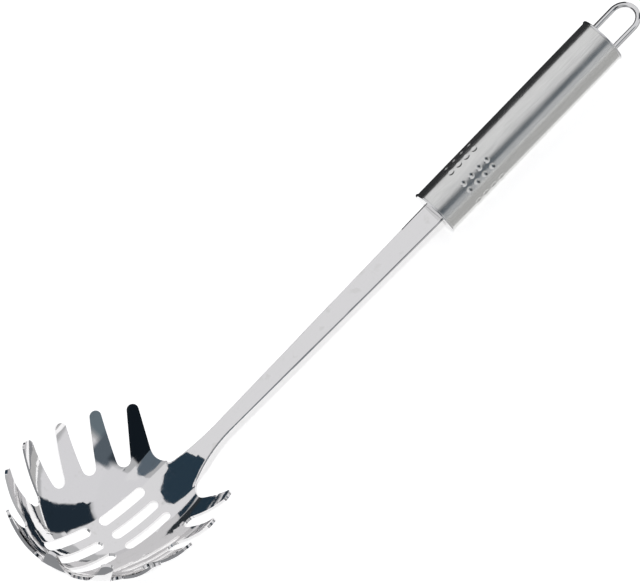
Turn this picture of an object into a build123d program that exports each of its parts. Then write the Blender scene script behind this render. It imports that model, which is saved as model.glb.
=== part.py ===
from build123d import *
import math
import os

# A pasta server of stainless steel: a stamped head with prongs round its bowl, on a welded tube handle.
# Millimetres and degrees. The handle lies along X, the head points to +X and the bowl opens to +Z.
# The origin is the middle of the handle tube, on its axis.

# Handle
tube_length = 94.2
tube_radius = 10.0
tube_wall = 1.0
cap_thickness = 1.0
cap_lip = 0.4
cap_edge_radius = 0.35
skirt_depth = 4.0
skirt_wall = 0.8
fit_clearance = 0.05

# Grip dimples: groups of rows spread round the tube
dimple_radius = 1.4
dimple_depth = 0.35
dimple_pitch = 4.3
dimple_columns = 4
dimple_first = 15.5
dimple_groups = 6
dimple_rows = 2
dimple_row_angle = 19.0
dimple_group_turn = 40.0

# Sheet of the head and its centre line, from the outer face of the front cap towards the bowl
sheet = 1.2
shank_height = 1.35
shank_rise = 0.85
shank_inside = 14.0
neck_start = 115.2
neck_radius = 101.5
neck_fall = 12.7
bowl_radius = 63.1
bowl_climb = 37.8
front_climb = 92.0
prong_radius = 68.0

# The front of the bowl bends round a pivot that is this far above the prong tips
pivot_clearance = 4.2

# Section of the sheet from side to side: a floor with steeper walls that curve less
floor_radius = 35.3
floor_reach = 19.1
wall_radius = 57.4

# Shank: a channel with its open side down
shank_cap_width = 10.7
shank_neck_width = 7.2
flare_start = 117.0
flange_depth = 4.4
bend_radius = 0.8
slot_clearance = 0.12
notch_radius = 5.9
notch_centre_run = 138.4
notch_centre_reach = 13.1
flange_end_angle = 48.0
flange_slant = 8.0

# Rim: where the gaps between the prongs end, as run along the centre line and reach to the side
rim_start = 145.6
rim_run = 74.4
rim_reach = 28.1
gap_radius = 2.8
gap_run_shares = (0.142, 0.328, 0.540, 0.759, 0.934, 1.0)
gap_reach_shares = (0.690, 0.915, 1.0, 0.911, 0.612, 0)

# Prong tips, from the neck round to the front
tip_radius = 2.4
tip_reach = 51.2
tip_run_shares = (-0.157, 0.009, 0.308, 0.790, 1.202, 1.272)
tip_reach_shares = (0.656, 0.859, 0.988, 1.0, 0.686, 0.264)

# Slots in the floor of the bowl, in two rows
slot_width = 4.4
slot_pitch = 8.2
slot_row_runs = ((157.2, 179.9), (185.2, 209.4))

# Hanging loop
wire_diameter = 2.5
loop_leg_spacing = 12.5
loop_leg_outside = 11.2
loop_leg_inside = 4.0

# Welds
shank_weld_leg = 1.0
weld_slope = 35.0
loop_weld_leg = 1.3

# One overrun serves all cuts
overrun = 6.0
cut_reach = 20.0


def section_place(reach):
    """Place on the section across the sheet, as far to the side and up, and the turn of the sheet there."""
    on_floor = min(abs(reach), floor_reach)
    floor_turn = on_floor / floor_radius
    turn = floor_turn + (abs(reach) - on_floor) / wall_radius
    aside = floor_radius * math.sin(floor_turn) + wall_radius * (math.sin(turn) - math.sin(floor_turn))
    rise = floor_radius * (1 - math.cos(floor_turn)) + wall_radius * (math.cos(floor_turn) - math.cos(turn))
    side = math.copysign(1, reach)
    return Vector(side * aside, rise), side * turn


full_reach = tip_reach + tip_radius / 2
front_radius = section_place(full_reach)[0].Y + pivot_clearance
cap_face = tube_length / 2 + cap_thickness
skirt_radius = tube_radius - tube_wall - fit_clearance
shank_slope = math.radians(shank_rise)
neck_turn = math.radians(shank_rise + neck_fall)
bowl_turn = math.radians(neck_fall + bowl_climb)
front_turn = math.radians(front_climb - bowl_climb)
neck_end = neck_start + neck_radius * neck_turn
bowl_end = neck_end + bowl_radius * bowl_turn
front_end = bowl_end + front_radius * front_turn
blank_end = rim_start + rim_run * max(tip_run_shares) + tip_radius + overrun

# Stretches of the centre line: first run, last run, radius (positive where it turns up, zero if straight)
stretches = (
    (-shank_inside, neck_start, 0),
    (neck_start, neck_end, -neck_radius),
    (neck_end, bowl_end, bowl_radius),
    (bowl_end, front_end, front_radius),
    (front_end, blank_end, prong_radius),
)


def run_plane(run):
    """Plane square to the centre line: x to the side, y up from the sheet, z along the run."""
    x, z, slope = cap_face, shank_height, shank_slope
    for first, last, radius in stretches:
        start = 0 if radius == 0 else first
        step = min(run, last) - start
        if radius == 0:
            x += step * math.cos(slope)
            z += step * math.sin(slope)
        else:
            turned = slope + step / radius
            x += radius * (math.sin(turned) - math.sin(slope))
            z += radius * (math.cos(slope) - math.cos(turned))
            slope = turned
        if run <= last:
            break
    return Plane(origin=(x, 0, z), x_dir=(0, 1, 0), z_dir=(math.cos(slope), 0, math.sin(slope)))


def sheet_plane(run, reach):
    """Plane touching the bowl side of the sheet: x along the run, z out of the sheet into the bowl."""
    frame = run_plane(run)
    place, turn = section_place(reach)
    point = frame.origin + frame.x_dir * place.X + frame.y_dir * place.Y
    normal = frame.y_dir * math.cos(turn) - frame.x_dir * math.sin(turn)
    return Plane(origin=point, x_dir=frame.z_dir, z_dir=normal)


def sheet_section(reach):
    """Section of one side of the sheet, one sheet thick: an arc for the floor and one more for the wall."""

    def face_point(place, depth):
        point, turn = section_place(place)
        return point + Vector(math.sin(turn), -math.cos(turn)) * depth

    bends = [0, reach] if reach <= floor_reach else [0, floor_reach, reach]
    outline = [Line(face_point(end, 0), face_point(end, sheet)) for end in (0, reach)]
    for first, last in zip(bends[:-1], bends[1:]):
        for depth in (0, sheet):
            outline.append(
                ThreePointArc(*(face_point(place, depth) for place in (first, (first + last) / 2, last)))
            )
    return make_face(outline)


def swept(section, start, end):
    """Solid of a section carried along the centre line from one run to another."""
    body = None
    for first, last, radius in stretches:
        low, high = max(first, start), min(last, end)
        if high <= low:
            continue
        frame = run_plane(low)
        face = frame * section
        if radius == 0:
            piece = extrude(face, amount=high - low, dir=frame.z_dir)
        else:
            pivot = Axis(frame.origin + frame.y_dir * radius, (0, -math.copysign(1, radius), 0))
            piece = revolve(face, pivot, math.degrees((high - low) / abs(radius)))
        body = piece if body is None else body + piece
    return body


def both_ways(plane, outline):
    """Prism of an outline on a plane, through the sheet in both directions."""
    return extrude(plane * make_face(outline), amount=cut_reach, both=True)


def flat_place(plane, point):
    """A point dropped on a plane, in the plane's own two directions."""
    local = plane.to_local_coords(point)
    return Vector(local.X, local.Y)


def crossing_tangent(gap, gap_r, tip, tip_r, side):
    """Ends of the line that passes between a gap circle and a tip circle, touching both."""
    span = tip - gap
    unit = span.normalized()
    across = Vector(-unit.Y, unit.X) * side
    share = (gap_r + tip_r) / span.length
    normal = unit * share + across * math.sqrt(1 - share * share)
    return gap + normal * gap_r, tip - normal * tip_r


# Rim gaps and prong tips as points on the sheet, on the side of +Y
gap_spots = [
    (rim_start + rim_run * run, rim_reach * reach)
    for run, reach in zip(gap_run_shares, gap_reach_shares)
]
tip_spots = [
    (rim_start + rim_run * run, tip_reach * reach)
    for run, reach in zip(tip_run_shares, tip_reach_shares)
]
tips = [sheet_plane(*spot).origin for spot in tip_spots]
front_mate = Vector(tips[-1].X, -tips[-1].Y, tips[-1].Z)
tip_neighbours = tips + [front_mate]
notch_plane = sheet_plane(notch_centre_run, notch_centre_reach)


def gap_plane(index):
    """Plane at the centre of the round end of one gap."""
    floor = sheet_plane(*gap_spots[index])
    middle = (tip_neighbours[index] + tip_neighbours[index + 1]) / 2
    centre = floor.origin + (middle - floor.origin).normalized() * gap_radius
    return Plane(origin=centre, x_dir=floor.x_dir, z_dir=floor.z_dir)


def prong_cut(index):
    """Waste round one prong: both halves of its gaps and what lies beyond its round tip."""
    tip = tips[index]
    if index == 0:
        behind = (notch_plane.origin, notch_radius, notch_plane.origin + tip - gap_plane(0).origin)
        root_run = (rim_start + gap_spots[0][0]) / 2
        root_reach = (notch_centre_reach + gap_spots[0][1]) / 2
    else:
        behind = (gap_plane(index - 1).origin, gap_radius, (tips[index - 1] + tip) / 2)
        root_run = (gap_spots[index - 1][0] + gap_spots[index][0]) / 2
        root_reach = (gap_spots[index - 1][1] + gap_spots[index][1]) / 2
    ahead = (gap_plane(index).origin, gap_radius, (tip + tip_neighbours[index + 1]) / 2)
    root = sheet_plane(root_run, root_reach).origin
    middle = sheet_plane((root_run + tip_spots[index][0]) / 2, (root_reach + tip_spots[index][1]) / 2)
    along = tip - root
    along = along - middle.z_dir * along.dot(middle.z_dir)
    frame = Plane(origin=middle.origin, x_dir=along, z_dir=middle.z_dir)
    end = flat_place(frame, tip)
    tip_centre = end - Vector(tip_radius, 0)
    chains = []
    for centre, radius, between in (behind, ahead):
        gap = flat_place(frame, centre)
        side = math.copysign(1, gap.Y - end.Y)
        at_gap, at_tip = crossing_tangent(gap, radius, tip_centre, tip_radius, -side)
        clear = Vector(0, side * gap_radius / 2)
        outward_way = (flat_place(frame, between) - gap).normalized()
        far = gap + outward_way * (tip_reach + overrun) + clear * 2
        chains.append((at_tip, at_gap, gap + clear, far))
    left, right = chains
    corners = (left[0], left[1], left[2], left[3], right[3], right[2], right[1], right[0])
    outline = [Line(a, b) for a, b in zip(corners[:-1], corners[1:])]
    outline.append(ThreePointArc(right[0], end, left[0]))
    return both_ways(frame, outline)


def gap_cut(plane, radius):
    """Round end of one gap."""
    return plane * Cylinder(radius, cut_reach)


def slot_cut(runs, reach):
    """One slot through the floor of the bowl, with round ends."""
    middle = sheet_plane(sum(runs) / 2, reach)
    ends = [middle.to_local_coords(sheet_plane(run, reach).origin).X for run in runs]
    face = Pos(sum(ends) / 2, 0) * SlotOverall(ends[1] - ends[0], slot_width)
    return extrude(middle * face, amount=overrun, both=True)


# Side of the shank in plan, tapering from the cap and flaring into the notch behind the first prong
half_taper = (shank_cap_width - shank_neck_width) / 2
taper = math.atan2(half_taper, flare_start)
outward = Vector(math.sin(taper), math.cos(taper))
back_length = shank_inside + overrun
shank_back = Vector(cap_face - back_length, shank_cap_width / 2 + back_length * math.tan(taper))
flare_point = Vector(cap_face + flare_start, shank_neck_width / 2)
notch_centre = Vector(notch_plane.origin.X, notch_plane.origin.Y)
to_notch = notch_centre - flare_point
flare_radius = (to_notch.dot(to_notch) - notch_radius**2) / (2 * (to_notch.dot(outward) - notch_radius))
flare_centre = flare_point + outward * flare_radius
flare_aim = (notch_centre - flare_centre).normalized()
end_aim = Vector(math.cos(math.radians(flange_end_angle)), -math.sin(math.radians(flange_end_angle)))


def flare_side(depth):
    """Edge of the shank in plan, moved in by a depth: taper, flare and the start of the notch."""
    start = shank_back - outward * depth
    taper_end = flare_point - outward * depth
    radius = flare_radius + depth
    middle_aim = (flare_aim - outward).normalized()
    flare_end = flare_centre + flare_aim * radius
    turn_aim = (flare_aim + end_aim).normalized()
    notch_turn = notch_centre + turn_aim * (notch_radius + depth)
    notch_end = notch_centre + end_aim * (notch_radius + depth)
    return [
        Line(start, taper_end),
        ThreePointArc(taper_end, flare_centre + middle_aim * radius, flare_end),
        ThreePointArc(flare_end, notch_turn, notch_end),
    ]


def shank_side_cut():
    """Waste beside the shank, from the handle to the notch, square to the plan."""
    edge = flare_side(0)
    last = edge[-1] @ 1
    prong_way = tips[0] - gap_plane(0).origin
    prong_way = Vector(prong_way.X, prong_way.Y).normalized()
    out = notch_centre + prong_way * (tip_reach + overrun)
    far_back = shank_back.X - overrun
    corners = (last, notch_centre, out, Vector(far_back, out.Y), Vector(far_back, shank_back.Y))
    outline = edge + [Line(a, b) for a, b in zip(corners[:-1], corners[1:])]
    outline.append(Line(corners[-1], edge[0] @ 0))
    return extrude(make_face(outline), amount=tip_reach, both=True)


def flange_strip():
    """Plan of the folded edge of the shank, one sheet wide."""
    outer = flare_side(0)
    inner = flare_side(sheet)
    ends = [Line(outer[-1] @ 1, inner[-1] @ 1), Line(inner[0] @ 0, outer[0] @ 0)]
    return extrude(make_face(outer + inner + ends), amount=tip_reach, both=True)


def flange_end_cut():
    """Waste that slants the front end of the folded edge up to the sheet."""
    end_run = notch_centre_run + notch_radius * end_aim.X
    start = run_plane(end_run - flange_slant)
    end = run_plane(end_run)
    low = start.origin - start.y_dir * flange_depth
    high = end.origin - end.y_dir * sheet
    down = start.y_dir * -(flange_depth + overrun)
    ahead = start.z_dir * (flange_slant + overrun)
    corners = (low, high, high + ahead, high + ahead + down, low + down)
    face = make_face([Line(a, b) for a, b in zip(corners, corners[1:] + corners[:1])])
    return extrude(face, amount=tip_reach, both=True, dir=(0, 1, 0))


def bend_edge(half):
    """Long upper edge of the shank on the +Y side, where the sheet is folded down."""
    side = Wire(flare_side(0))
    found = ShapeList()
    for edge in half.edges():
        middle = edge @ 0.5
        near = side.distance_to(Vector(middle.X, middle.Y)) < fit_clearance
        if near and middle.Z > shank_height - flange_depth / 2:
            found.append(edge)
    return found.sort_by(SortBy.LENGTH)[-1]


def make_head():
    """The stamped head: bowl, prongs, neck and channel shank in one sheet, made as two mirrored halves."""
    neck_reach = tip_reach * tip_reach_shares[0] + overrun
    half = swept(sheet_section(shank_cap_width), -shank_inside, neck_start)
    half = half + swept(sheet_section(neck_reach), neck_start, neck_end)
    half = half + swept(sheet_section(full_reach), neck_end, blank_end)
    cuts = [prong_cut(index) for index in range(len(tips))]
    cuts.append(mirror(cuts[-1], Plane.XZ))
    cuts += [gap_cut(gap_plane(index), gap_radius) for index in range(len(tips))]
    cuts += [gap_cut(notch_plane, notch_radius), shank_side_cut()]
    cuts += [slot_cut(runs, place * slot_pitch) for runs in slot_row_runs for place in (0, 1)]
    for cut in cuts:
        half = half - cut
    band = Pos(0, -(flange_depth + sheet / 2) / 2) * Rectangle(tip_reach, flange_depth - sheet / 2)
    band = swept(band, -shank_inside, neck_end + overrun)
    half = half + ((band & flange_strip()) - flange_end_cut())
    half = fillet(bend_edge(half), bend_radius)
    return half + mirror(half, Plane.XZ)


def make_dimples():
    """The balls that press the grip dimples: groups of rows round the tube."""
    ball_radius = (dimple_radius**2 + dimple_depth**2) / (2 * dimple_depth)
    ball_height = tube_radius + ball_radius - dimple_depth
    balls = []
    for group in range(dimple_groups):
        for row in range(dimple_rows):
            turn = dimple_group_turn + group * 360 / dimple_groups
            turn += (row - (dimple_rows - 1) / 2) * dimple_row_angle
            for column in range(dimple_columns):
                x = cap_face - dimple_first - column * dimple_pitch
                spot = Pos(x, 0, 0) * Rot(-turn, 0, 0) * Pos(0, 0, ball_height)
                balls.append(spot * Sphere(ball_radius))
    return balls


def round_bar(radius, start, end):
    """Round bar on the handle's axis between two places along it."""
    return Plane(origin=(start, 0, 0), x_dir=(0, 1, 0), z_dir=(1, 0, 0)) * Cylinder(
        radius, end - start, align=(Align.CENTER, Align.CENTER, Align.MIN)
    )


def make_tube():
    """Hollow handle tube with its grip dimples."""
    end = tube_length / 2
    return round_bar(tube_radius, -end, end) - round_bar(tube_radius - tube_wall, -end, end) - make_dimples()


def make_cap():
    """Plain cap for the +X end: a disc with a small lip and a skirt that enters the tube."""
    end = tube_length / 2
    disc = round_bar(tube_radius + cap_lip, end, cap_face)
    rims = disc.edges().filter_by(GeomType.CIRCLE).group_by(Axis.X)
    disc = fillet(rims[0] + rims[-1], cap_edge_radius)
    skirt = round_bar(skirt_radius, end - skirt_depth, end)
    skirt = skirt - round_bar(skirt_radius - skirt_wall, end - skirt_depth, end)
    return disc + skirt


def channel_section(growth):
    """Section of the shank where it passes the cap, grown all round by a clearance."""
    half = shank_cap_width / 2 + growth
    place, _ = section_place(half)
    top = place.Y + growth
    outer_height = flange_depth + growth + top
    inner_height = flange_depth - sheet
    outer = Pos(0, top - outer_height / 2) * Rectangle(2 * half, outer_height)
    inner_half = half - sheet - 2 * growth
    inner = Pos(0, -flange_depth - growth + inner_height / 2) * Rectangle(2 * inner_half, inner_height)
    return outer - inner


def make_front_cap():
    """Front cap with the channel-shaped slot that the shank enters."""
    return make_cap() - swept(channel_section(slot_clearance), -cap_thickness - overrun, overrun)


def make_rear_cap():
    """Rear cap with the two holes of the hanging loop."""
    cap = mirror(make_cap(), Plane.YZ)
    for side in (-1, 1):
        hole = round_bar(wire_diameter / 2 + fit_clearance, -cap_face - overrun, -cap_face + overrun)
        cap = cap - Pos(0, side * loop_leg_spacing / 2, 0) * hole
    return cap


def make_loop():
    """Hanging loop: two straight legs and a half circle of wire."""
    bend = loop_leg_spacing / 2
    inside = -tube_length / 2 + loop_leg_inside
    outside = -cap_face - loop_leg_outside
    route = Wire(
        [
            Line((inside, bend, 0), (outside, bend, 0)),
            ThreePointArc((outside, bend, 0), (outside - bend, 0, 0), (outside, -bend, 0)),
            Line((outside, -bend, 0), (inside, -bend, 0)),
        ]
    )
    section = Plane(origin=(inside, bend, 0), z_dir=(-1, 0, 0)) * Circle(wire_diameter / 2)
    return sweep(section, path=route)


def make_shank_weld(pressing):
    """Bead round the shank on the inner side of the front cap."""
    seat = Plane(origin=(tube_length / 2, 0, shank_height), x_dir=(0, -1, 0), z_dir=(-1, 0, 0))
    height = flange_depth + 2 * shank_weld_leg
    outline = Pos(0, -flange_depth / 2) * Rectangle(shank_cap_width + 2 * shank_weld_leg, height)
    bead = extrude(seat * outline, amount=shank_weld_leg, taper=weld_slope)
    hollow_height = flange_depth + overrun - sheet
    hollow = Pos(0, -sheet - hollow_height / 2) * Rectangle(shank_cap_width - 2 * sheet, hollow_height)
    return bead - extrude(seat * hollow, amount=shank_weld_leg) - pressing


def make_loop_weld(side):
    """Bead round one leg of the loop on the inner side of the rear cap."""
    inner_face = -tube_length / 2
    plane = Plane(origin=(inner_face, side * loop_leg_spacing / 2, 0), x_dir=(0, 1, 0), z_dir=(1, 0, 0))
    cone = Cone(
        wire_diameter / 2 + loop_weld_leg,
        wire_diameter / 2 + fit_clearance,
        loop_weld_leg,
        align=(Align.CENTER, Align.CENTER, Align.MIN),
    )
    bead = plane * (cone - Cylinder(wire_diameter / 2, overrun))
    return bead & round_bar(skirt_radius - skirt_wall, inner_face, inner_face + loop_weld_leg)


head = make_head()
parts = {
    "server_head": head,
    "handle_tube": make_tube(),
    "front_cap": make_front_cap(),
    "rear_cap": make_rear_cap(),
    "hanging_loop": make_loop(),
    "shank_weld": make_shank_weld(head),
    "loop_weld_near": make_loop_weld(1),
    "loop_weld_far": make_loop_weld(-1),
}
os.makedirs("parts", exist_ok=True)
for name, solid in parts.items():
    export_step(solid, f"parts/{name}.step")
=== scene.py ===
# %% [markdown]
# A pasta server of stainless steel, seen from above its near side. The solids come packed from the
# CAD model, already in their right places, so this file gives them their finishes, a camera, a table
# and a small studio. Bare metal has hardly any colour of its own: it looks like whatever it mirrors,
# so most of the work here is in the surfaces' fine relief and in what stands round the tool.

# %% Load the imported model
import math

import bpy
import numpy as np
from mathutils import Matrix, Vector


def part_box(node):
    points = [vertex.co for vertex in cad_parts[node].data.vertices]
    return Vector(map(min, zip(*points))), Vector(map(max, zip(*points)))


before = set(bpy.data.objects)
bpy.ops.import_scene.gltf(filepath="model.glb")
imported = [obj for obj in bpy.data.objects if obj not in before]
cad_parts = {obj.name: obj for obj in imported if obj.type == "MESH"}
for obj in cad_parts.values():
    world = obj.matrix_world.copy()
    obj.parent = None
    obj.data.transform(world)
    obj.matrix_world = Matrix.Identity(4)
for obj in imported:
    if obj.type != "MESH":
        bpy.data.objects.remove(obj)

MM = 0.001
scene = bpy.context.scene
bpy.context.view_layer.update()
print("CAD nodes:", sorted(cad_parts))

# %% [markdown]
# Colours are written as sRGB hex values, as a colour picker gives them. Blender's shaders work in
# linear light, so one function turns the one into the other. Another adds any shader node with its
# settings and links, and a third does a sum with a node. They keep each material short enough to
# read at a glance.


# %% Colour and node helpers
def colour(hex_value):
    """Linear RGBA of an sRGB hex colour: each channel is raised by the sRGB curve."""
    channels = np.array([int(hex_value[i : i + 2], 16) for i in (1, 3, 5)]) / 255
    linear = np.where(channels <= 0.04045, channels / 12.92, ((channels + 0.055) / 1.055) ** 2.4)
    return (*(float(c) for c in linear), 1.0)


def add_node(tree, kind, links=(), values=(), **settings):
    """One shader node: settings fill its properties, values its sockets, links join sources to sockets."""
    node = tree.nodes.new(kind)
    for name, value in settings.items():
        setattr(node, name, value)
    for socket, value in values:
        node.inputs[socket].default_value = value
    for socket, source in links:
        tree.links.new(source, node.inputs[socket])
    return node


def maths(tree, operation, first, second=0.0, third=0.0):
    """Result of one maths node, whose inputs are sockets or plain numbers."""
    inputs = list(enumerate((first, second, third)))
    links = [(i, value) for i, value in inputs if isinstance(value, bpy.types.NodeSocket)]
    values = [(i, value) for i, value in inputs if not isinstance(value, bpy.types.NodeSocket)]
    return add_node(tree, "ShaderNodeMath", links=links, values=values, operation=operation).outputs[0]


def new_material(name):
    """Empty node material, returned with its node tree."""
    material = bpy.data.materials.new(name)
    material.use_nodes = True
    material.node_tree.nodes.clear()
    return material, material.node_tree


print("a light grey in linear light:", colour("#cccccc"))

# %% [markdown]
# The photograph was taken from over two metres away with a long lens, so lines that are parallel on
# the tool stay nearly parallel in the picture. The camera looks at a point beside the shank, from a
# direction given by two angles in degrees: its turn round Z from +X and its rise above the level. It
# is rolled so that the handle points to the upper right. The focal length is in pixels of the
# picture, the sensor's width in mm, and nothing is drawn beyond the sight limit in metres.

# %% Camera
VIEW_AZIMUTH = 80.684
VIEW_ELEVATION = 59.323
VIEW_ROLL = -37.884
VIEW_DISTANCE = 2225.1 * MM
VIEW_AIM = Vector((102.80, -1.15, 19.85)) * MM
FOCAL_PIXELS = 5722.0
FRAME_WIDTH = 640
SENSOR_WIDTH = 36.0
SIGHT_LIMIT = 20.0

camera_data = bpy.data.cameras.new("camera")
camera_data.sensor_fit = "HORIZONTAL"
camera_data.sensor_width = SENSOR_WIDTH
camera_data.lens = FOCAL_PIXELS / FRAME_WIDTH * SENSOR_WIDTH
camera_data.clip_end = SIGHT_LIMIT
camera = bpy.data.objects.new("camera", camera_data)
scene.collection.objects.link(camera)
azimuth, elevation = math.radians(VIEW_AZIMUTH), math.radians(VIEW_ELEVATION)
bearing = Vector((math.cos(azimuth), math.sin(azimuth), 0))
towards = bearing * math.cos(elevation) + Vector((0, 0, math.sin(elevation)))
level = Vector((0, 0, 1)).cross(towards).normalized()
turn = Matrix((level, towards.cross(level), towards)).transposed()
roll = Matrix.Rotation(math.radians(VIEW_ROLL), 3, "Z")
camera.matrix_world = (turn @ roll).to_4x4()
camera.location = VIEW_AIM + towards * VIEW_DISTANCE
scene.camera = camera
print("lens:", round(camera_data.lens, 1), "mm")

# %% [markdown]
# The tool lies on a white table, touching it with the lip of the front cap and with the bottom of
# the bowl. A line through those two points is not level in the model's own frame, so the table is
# tipped by the same small angle to touch both. The bowl's lowest point is looked for from a little way
# along the shank. The table is matt, so that it takes the soft shadow. A glow lifts it to the white of
# the photograph, for the camera and for what the metal mirrors, and lights nothing.

# %% Table
TABLE_REACH = 6.0
TABLE_COLOUR = "#dcdcdc"
TABLE_GLOW = 0.68
SEARCH_START = 50 * MM


def table_slope():
    """Foot of the table under the cap lip and its rise along X: the steepest that clears all the head."""
    lip_low, lip_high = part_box("front_cap")
    foot = Vector((lip_high.x, 0, lip_low.z))
    points = np.array([v.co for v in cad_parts["server_head"].data.vertices])
    ahead = points[points[:, 0] > foot.x + SEARCH_START]
    return foot, float(np.min((ahead[:, 2] - foot.z) / (ahead[:, 0] - foot.x)))


foot, slope = table_slope()


def on_table(x, y, lift=0.0):
    """Point of the table at x and y, or a little above it, all in metres."""
    return (x, y, foot.z + (x - foot.x) * slope + lift)


quarters = ((-1, -1), (1, -1), (1, 1), (-1, 1))
table_corners = [on_table(x * TABLE_REACH, y * TABLE_REACH) for x, y in quarters]
table_mesh = bpy.data.meshes.new("table")
table_mesh.from_pydata(table_corners, [], [range(len(table_corners))])
table = bpy.data.objects.new("table", table_mesh)
scene.collection.objects.link(table)

paint, tree = new_material("matt white table")
rays = add_node(tree, "ShaderNodeLightPath").outputs
mirrored = maths(tree, "MAXIMUM", rays["Is Glossy Ray"], rays["Is Transmission Ray"])
seen = maths(tree, "MAXIMUM", rays["Is Camera Ray"], mirrored)
matt = add_node(tree, "ShaderNodeBsdfDiffuse", values=[("Color", colour(TABLE_COLOUR))])
glow_values = [("Color", colour("#ffffff")), ("Strength", TABLE_GLOW)]
glow = add_node(tree, "ShaderNodeEmission", values=glow_values)
lifted = add_node(tree, "ShaderNodeAddShader", links=[(0, matt.outputs[0]), (1, glow.outputs[0])])
shown = add_node(
    tree, "ShaderNodeMixShader", links=[(0, seen), (1, matt.outputs[0]), (2, lifted.outputs[0])]
)
add_node(tree, "ShaderNodeOutputMaterial", links=[("Surface", shown.outputs[0])])
table_mesh.materials.append(paint)
print("table slope:", round(math.degrees(math.atan(slope)), 2), "degrees")

# %% [markdown]
# A polished tool is lit by large white cloths and shaded by dark ones, because the metal mirrors them.
# Here they are panels of the sky. Each one fills a range of azimuths, measured round Z from +X, and a
# range of elevations above the level, both in degrees, and its edges fade over a few degrees. Later
# panels hang in front of earlier ones.

# %% Studio sky
ROOM = "#bcbdbf"
PANELS = (
    # what it is, azimuth from, to, elevation from, to, fade, colour
    ("large white cloth on the far side", -182, -10, 12, 95, 3, "#e9e9eb"),
    ("white cloth over the near side", 108, 186, 44, 95, 4, "#e3e3e6"),
    ("white cloth at the end of the table", 98, 150, 2, 46, 3, "#e5e5e8"),
    ("bright strip overhead", 92, 125, 66, 78, 4, "#e9e9eb"),
    ("dark doorway past the handle", 149, 179, -12, 42, 2, "#232f3a"),
    ("dim corner behind the camera", 76, 95, 4, 34, 5, "#6b7880"),
    ("dim room behind the camera", 84, 112, 28, 47, 5, "#5a646d"),
    ("dim beam above it", 84, 105, 43, 57, 4, "#39424a"),
    ("dark room behind the camera", 54, 88, 27, 68, 3, "#141b22"),
    ("dark gap under the cloth", -112, -70, -40, 14, 6, "#2f3438"),
)

world = bpy.data.worlds.new("studio")
scene.world = world
world.use_nodes = True
tree = world.node_tree
tree.nodes.clear()
parts = add_node(
    tree, "ShaderNodeSeparateXYZ", links=[(0, add_node(tree, "ShaderNodeTexCoord").outputs["Generated"])]
).outputs


def inside_range(tree, angle, low, high, fade):
    """1 where an angle in degrees lies between two others and 0 outside, fading over the edge."""
    off_middle = maths(tree, "WRAP", maths(tree, "SUBTRACT", angle, (low + high) / 2), 180.0, -180.0)
    half = (high - low) / 2
    edge = [("From Min", half - fade / 2), ("From Max", half + fade / 2)]
    return add_node(
        tree,
        "ShaderNodeMapRange",
        interpolation_type="SMOOTHSTEP",
        links=[("Value", maths(tree, "ABSOLUTE", off_middle))],
        values=[*edge, ("To Min", 1.0), ("To Max", 0.0)],
    ).outputs[0]


sky_azimuth = maths(tree, "MULTIPLY", maths(tree, "ARCTAN2", parts["Y"], parts["X"]), math.degrees(1))
sky_elevation = maths(tree, "MULTIPLY", maths(tree, "ARCSINE", parts["Z"]), math.degrees(1))
sky = add_node(tree, "ShaderNodeRGB")
sky.outputs[0].default_value = colour(ROOM)
sky_colour = sky.outputs[0]
for what, left, right, low, high, fade, hex_value in PANELS:
    across = inside_range(tree, sky_azimuth, left, right, fade)
    upright = inside_range(tree, sky_elevation, low, high, fade)
    hung = add_node(
        tree,
        "ShaderNodeMix",
        label=what,
        data_type="RGBA",
        links=[(0, maths(tree, "MULTIPLY", across, upright)), (6, sky_colour)],
        values=[(7, colour(hex_value))],
    )
    sky_colour = hung.outputs[2]
backdrop = add_node(tree, "ShaderNodeBackground", links=[("Color", sky_colour)], values=[("Strength", 1.0)])
add_node(tree, "ShaderNodeOutputWorld", links=[("Surface", backdrop.outputs[0])])
scene.view_settings.view_transform = "Standard"
print("panels in the studio sky:", len(PANELS))

# %% [markdown]
# Close to the metal a few cards do what far panels can't: each shows in one part of the tool only.
# A dark one stands behind the handle and gives the tube its dark far edge, which makes it look round.
# Two hang over the bowl: the dark one shades the neck, the grey one the root of the first prong. Grey
# paper lies in front, so that the near sides aren't as white as the table. Only the metal's mirror
# images show the cards, and they cast no shadow.

# %% Cards close to the tool
PAPER_LIFT = 0.5 * MM
OVAL_CORNERS = 32


def oval(x, y, z, half_x, half_y):
    """Corners of a level oval card round (x, y, z), all in mm."""
    turns = [2 * math.pi * i / OVAL_CORNERS for i in range(OVAL_CORNERS)]
    return [(x + half_x * math.cos(turn), y + half_y * math.sin(turn), z) for turn in turns]


CARDS = (
    # what it is, corners as x, y and z in mm (no z: lying on the table), colour
    ("card_behind_handle", ((-75, -17, -12), (60, -17, -12), (60, -17, 17), (-75, -17, 17)), "#2e2f31"),
    ("dark_card_over_bowl", oval(221, -49, 60, 25, 44), "#2a3c4a"),
    ("grey_card_over_bowl", oval(207, 1, 60, 9.5, 8), "#5f6b76"),
    ("paper_beside_handle", ((-300, 14), (130, 14), (130, 400), (-300, 400)), "#bdbdbd"),
    ("paper_beside_bowl", ((130, 42), (265, 42), (265, 400), (130, 400)), "#8f9194"),
    ("paper_in_front_of_bowl", ((265, -250), (600, -250), (600, 400), (265, 400)), "#8f9194"),
)


def card_corner(x, y, z=None):
    """Corner of a card in metres, just above the table where no height is given."""
    return on_table(x * MM, y * MM, PAPER_LIFT) if z is None else (x * MM, y * MM, z * MM)


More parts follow.
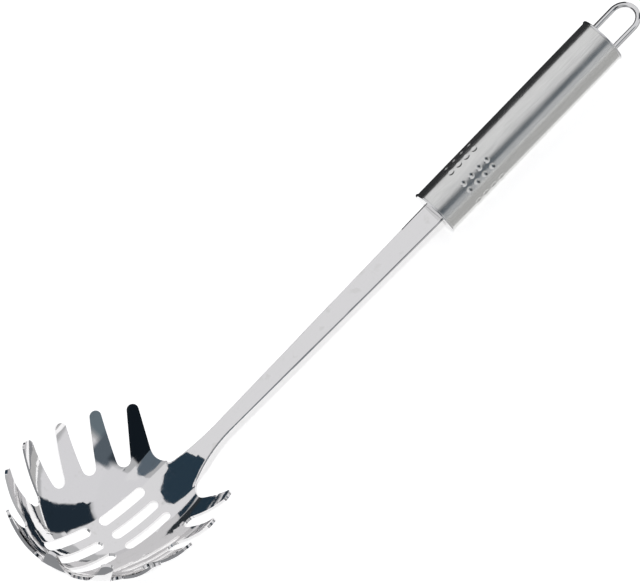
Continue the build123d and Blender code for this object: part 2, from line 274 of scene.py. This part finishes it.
for name, places, hex_value in CARDS:
    card_mesh = bpy.data.meshes.new(name)
    card_mesh.from_pydata([card_corner(*place) for place in places], [], [range(len(places))])
    card = bpy.data.objects.new(name, card_mesh)
    scene.collection.objects.link(card)
    card.visible_camera = False
    card.visible_diffuse = False
    card.visible_shadow = False
    paper, tree = new_material(name)
    shade = add_node(tree, "ShaderNodeEmission", values=[("Color", colour(hex_value)), ("Strength", 1.0)])
    add_node(tree, "ShaderNodeOutputMaterial", links=[("Surface", shade.outputs[0])])
    card_mesh.materials.append(paper)
print("cards close to the tool:", len(CARDS))

# %% [markdown]
# Every finish here is the same stainless steel, so the materials differ mostly in their relief and
# roughness. Relief comes from noise that is stretched along the way the surface was worked. Its size
# is given in millimetres along each axis of the object, and its depth in millimetres too.

# %% Stretched noise
NOISE_ROUGHNESS = 0.55


def worked_grain(tree, size, detail=3.0, seed=0.0):
    """Noise from 0 to 1 whose blobs have the given size in mm along X, Y and Z."""
    place = add_node(tree, "ShaderNodeTexCoord").outputs["Object"]
    scale = Vector([1 / (length * MM) for length in size])
    stretched = add_node(
        tree,
        "ShaderNodeMapping",
        links=[("Vector", place)],
        values=[("Scale", scale), ("Location", (seed, seed, seed))],
    )
    noise = add_node(
        tree,
        "ShaderNodeTexNoise",
        links=[("Vector", stretched.outputs[0])],
        values=[("Scale", 1.0), ("Detail", detail), ("Roughness", NOISE_ROUGHNESS)],
    )
    return noise.outputs[0]


def spread(tree, source, low, high, start=0.3, end=0.7):
    """A value carried from the range start to end into the range low to high."""
    return add_node(
        tree,
        "ShaderNodeMapRange",
        links=[("Value", source)],
        values=[("From Min", start), ("From Max", end), ("To Min", low), ("To Max", high)],
    ).outputs[0]


def relief(tree, height, depth, before=None):
    """Surface normal over a height from 0 to 1, depth mm deep, on top of the relief before."""
    links = [("Height", height)]
    if before is not None:
        links.append(("Normal", before))
    return add_node(
        tree, "ShaderNodeBump", links=links, values=[("Strength", 1.0), ("Distance", depth * MM)]
    ).outputs[0]


def finish_steel(tree, tint, roughness, normal):
    """Steel surface whose tint, roughness and relief all come from sockets."""
    metal = add_node(
        tree,
        "ShaderNodeBsdfPrincipled",
        links=[("Base Color", tint), ("Roughness", roughness), ("Normal", normal)],
        values=[("Metallic", 1.0)],
    )
    add_node(tree, "ShaderNodeOutputMaterial", links=[("Surface", metal.outputs[0])])


def two_tints(tree, factor, first, second):
    """Colour between two hex tints by a factor from 0 to 1."""
    return add_node(
        tree,
        "ShaderNodeMix",
        data_type="RGBA",
        links=[(0, factor)],
        values=[(6, colour(first)), (7, colour(second))],
    ).outputs[2]


print("grain sizes are in mm, scaled by", MM)

# %% [markdown]
# The head is pressed from sheet and then polished on a wheel. Pressing leaves the sheet very slightly
# wavy, so mirrored edges wobble, and the wheel leaves fine lines along the tool. A year in a drawer
# adds short scratches and a few dull spots from dried water.

# %% Mirror-polished sheet
WAVE_LENGTH = 24.0
WAVE_DEPTH = 0.07
WHEEL_LINE = (9.0, 0.35, 0.35)
WHEEL_LINE_DEPTH = 0.0008
SCRATCH = (2.2, 0.5, 1.4)
SCRATCH_DEPTH = 0.0006
SPOT_WIDTH = 5.0
SPOT_DULLNESS = 0.03

polished, tree = new_material("mirror-polished pressed stainless sheet")
waves = worked_grain(tree, (WAVE_LENGTH,) * 3, detail=1.5)
wheel_lines = worked_grain(tree, WHEEL_LINE, detail=2.0, seed=3.0)
scratches = spread(tree, worked_grain(tree, SCRATCH, detail=4.0, seed=7.0), 0, 1, 0.64, 0.70)
spots = spread(tree, worked_grain(tree, (SPOT_WIDTH,) * 3, detail=2.0, seed=11.0), 0, 1, 0.62, 0.74)
wavy = relief(tree, waves, WAVE_DEPTH)
lined = relief(tree, wheel_lines, WHEEL_LINE_DEPTH, wavy)
worn = relief(tree, scratches, SCRATCH_DEPTH, lined)
dull = maths(tree, "MULTIPLY_ADD", spots, SPOT_DULLNESS, spread(tree, wheel_lines, 0.03, 0.06))
finish_steel(tree, two_tints(tree, spots, "#e9e8e8", "#e2e1e0"), dull, worn)
print("waves of the pressing:", WAVE_LENGTH, "mm long,", WAVE_DEPTH, "mm deep")

# %% [markdown]
# The handle tube is drawn, welded and then brushed lengthwise on a belt. The belt's lines run along X,
# so they are long along the tube and a fraction of a millimetre across it. They blur the mirror image
# across the tube and leave it streaky along it. Two sizes of line lie over each other, and patches of
# handling wear are a little smoother.

# %% Satin-brushed tube
COARSE_LINE = (45.0, 0.7, 0.7)
COARSE_DEPTH = 0.0035
FINE_LINE = (7.0, 0.2, 0.2)
FINE_DEPTH = 0.0022
HANDLED_PATCH = (14.0, 7.0, 7.0)

satin, tree = new_material("satin-brushed stainless tube")
coarse_lines = worked_grain(tree, COARSE_LINE, detail=2.0)
fine_lines = worked_grain(tree, FINE_LINE, detail=2.0, seed=5.0)
handled = worked_grain(tree, HANDLED_PATCH, detail=2.0, seed=9.0)
coarse = relief(tree, coarse_lines, COARSE_DEPTH)
brushed = relief(tree, fine_lines, FINE_DEPTH, coarse)
streaks = two_tints(tree, spread(tree, fine_lines, 0, 1), "#e6e6e4", "#d8d8d6")
finish_steel(tree, streaks, spread(tree, handled, 0.20, 0.27), brushed)
print("brushing lines:", FINE_LINE[1], "and", COARSE_LINE[1], "mm across")

# %% [markdown]
# The caps are stamped and then spun against a pad, which leaves rings round the axis of the handle.
# Rings are waves of the distance from that axis. The wire of the loop is drawn bright, with faint
# lines along it, and the welds keep the straw and blue tints of their heat.

# %% Caps, wire and welds
RING_PITCH = 0.45
RING_DEPTH = 0.0015
SMEAR_WIDTH = 3.0
DIE_LINE = (12.0, 0.3, 0.3)
DIE_LINE_DEPTH = 0.0015
RIPPLE_WIDTH = 0.6
RIPPLE_DEPTH = 0.05
HEAT_WIDTH = 2.5

ringed, tree = new_material("spun stainless cap")
place = add_node(tree, "ShaderNodeTexCoord").outputs["Object"]
across = add_node(
    tree, "ShaderNodeVectorMath", operation="MULTIPLY", links=[(0, place)], values=[(1, (0.0, 1.0, 1.0))]
)
distance = add_node(tree, "ShaderNodeVectorMath", operation="LENGTH", links=[(0, across.outputs[0])])
phase = maths(tree, "MULTIPLY", distance.outputs["Value"], 2 * math.pi / (RING_PITCH * MM))
rings = maths(tree, "SINE", phase)
smears = worked_grain(tree, (SMEAR_WIDTH,) * 3, detail=3.0, seed=2.0)
spun = relief(tree, spread(tree, rings, 0, 1, -1, 1), RING_DEPTH)
finish_steel(tree, two_tints(tree, smears, "#e6e6e6", "#d8d8d8"), spread(tree, smears, 0.10, 0.18), spun)

drawn, tree = new_material("bright drawn stainless wire")
die_lines = worked_grain(tree, DIE_LINE, detail=2.0, seed=4.0)
lines = relief(tree, die_lines, DIE_LINE_DEPTH)
bright = two_tints(tree, die_lines, "#ececec", "#dedede")
finish_steel(tree, bright, spread(tree, die_lines, 0.06, 0.11), lines)

tinted, tree = new_material("heat-tinted weld bead")
ripples = worked_grain(tree, (RIPPLE_WIDTH,) * 3, detail=3.0, seed=6.0)
heat = worked_grain(tree, (HEAT_WIDTH,) * 3, detail=1.0, seed=8.0)
bead = relief(tree, ripples, RIPPLE_DEPTH)
straw_to_blue = two_tints(tree, spread(tree, heat, 0, 1), "#a08a62", "#56607a")
finish_steel(tree, straw_to_blue, spread(tree, ripples, 0.3, 0.5), bead)

FINISHES = {
    "server_head": polished,
    "handle_tube": satin,
    "front_cap": ringed,
    "rear_cap": ringed,
    "hanging_loop": drawn,
    "shank_weld": tinted,
    "loop_weld_near": tinted,
    "loop_weld_far": tinted,
}
for name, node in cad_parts.items():
    node.data.materials.clear()
    node.data.materials.append(FINISHES[name])
    print(name, "is", FINISHES[name].name)
